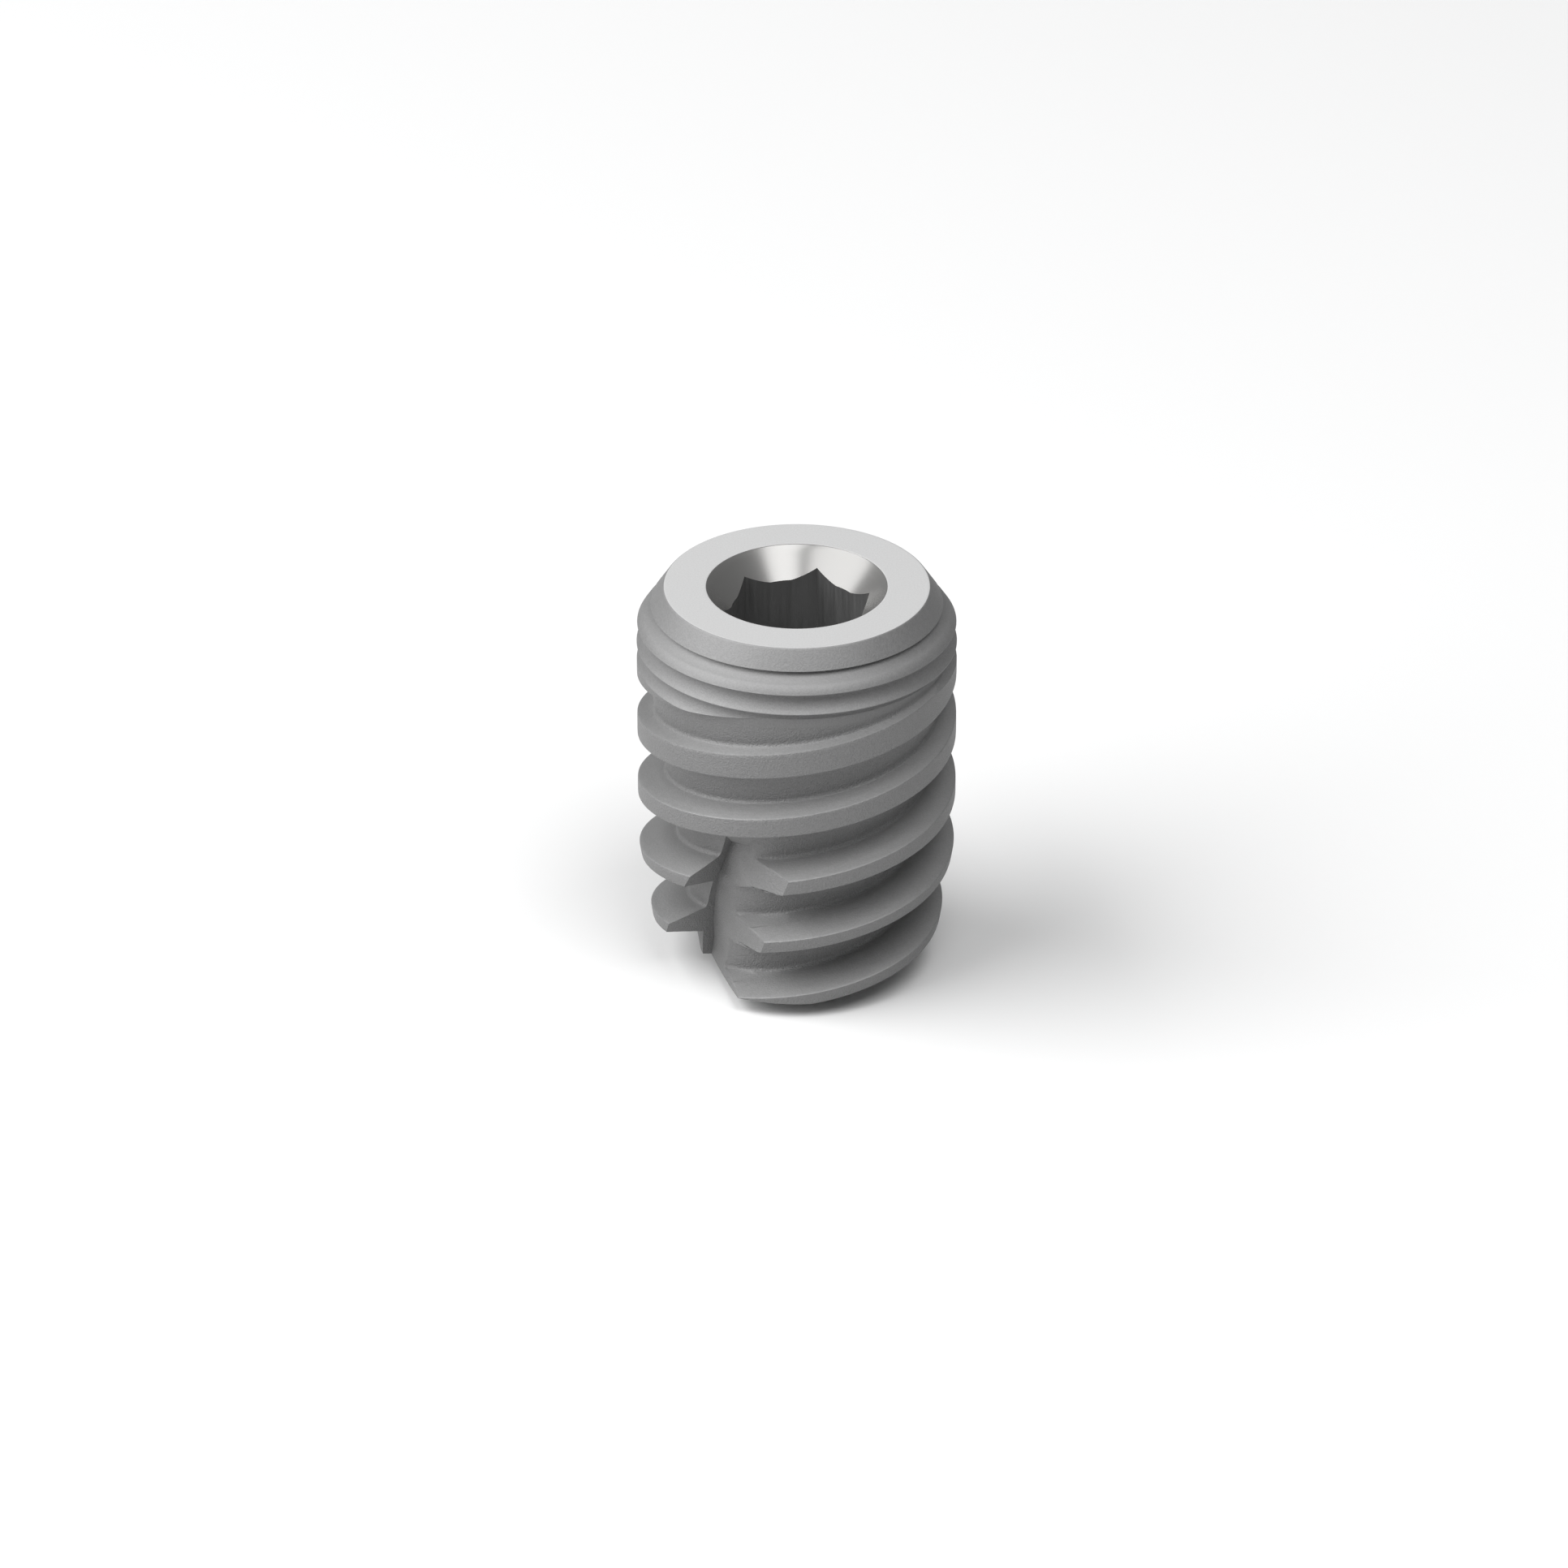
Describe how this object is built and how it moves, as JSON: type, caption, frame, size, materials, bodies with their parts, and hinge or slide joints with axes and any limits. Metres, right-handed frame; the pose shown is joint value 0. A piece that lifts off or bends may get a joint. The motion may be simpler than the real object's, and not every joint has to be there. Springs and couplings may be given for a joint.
{
  "type": "dental implant",
  "caption": "Short screw-shaped dental implant with a deep tapered thread, spiral cutting flutes, a ringed collar and a hexagonal socket under a bevelled platform.",
  "frame": {"origin": "centre of the flat apex, on the implant's axis", "axes": "+Z along the axis from the apex to the platform, -Y towards the viewer of the picture"},
  "size_m": [0.006, 0.006, 0.0078],
  "materials": {
    "titanium": "matte blasted titanium, with a bright machined platform and socket mouth"
  },
  "bodies": {
    "root": {"implant_body": "titanium"}
  },
  "joints": []
}
